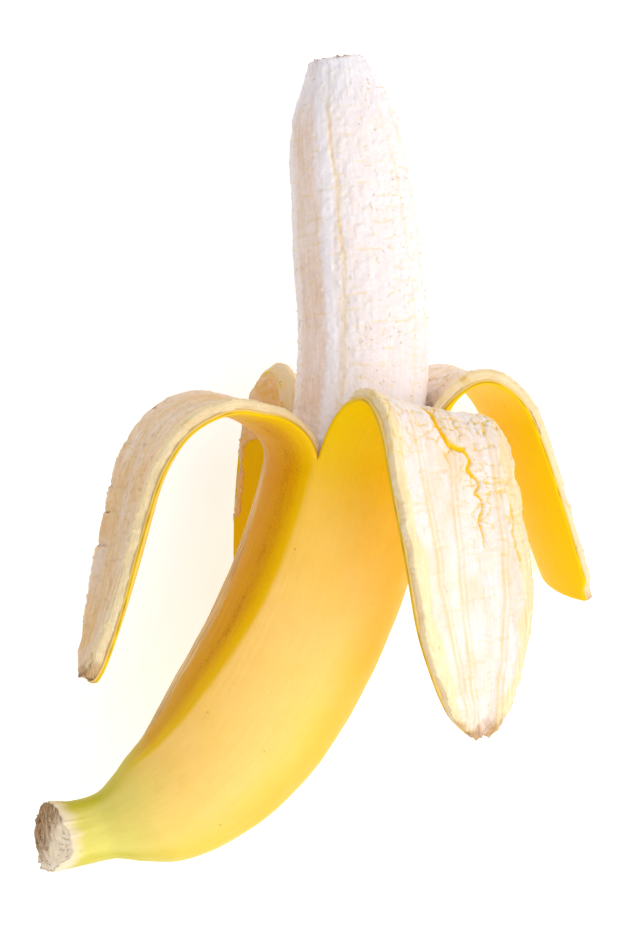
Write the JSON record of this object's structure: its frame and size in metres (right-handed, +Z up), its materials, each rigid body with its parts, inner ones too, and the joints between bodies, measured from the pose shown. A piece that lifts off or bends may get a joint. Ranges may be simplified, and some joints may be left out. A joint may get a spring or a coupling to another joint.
{
  "type": "peeled banana",
  "caption": "Peeled banana lying on its back: a curved ridged peel with a short stem, flaps folded outward and down, and bare flesh standing out of it with a torn top.",
  "frame": {"origin": "on the floor it lies on, under the middle of its bounding box", "axes": "+Z up and out of the shown side, +Y from the stem end towards the bare top, +X to the right of the shown side, the banana's outer curve"},
  "size_m": [0.13, 0.186, 0.0825],
  "materials": {
    "banana_peel": "waxy satin yellow skin, pale spongy pith inside",
    "banana_flesh": "soft matt creamy white, slightly moist"
  },
  "bodies": {
    "root": {"peel": "banana_peel", "flesh": "banana_flesh"}
  },
  "joints": []
}
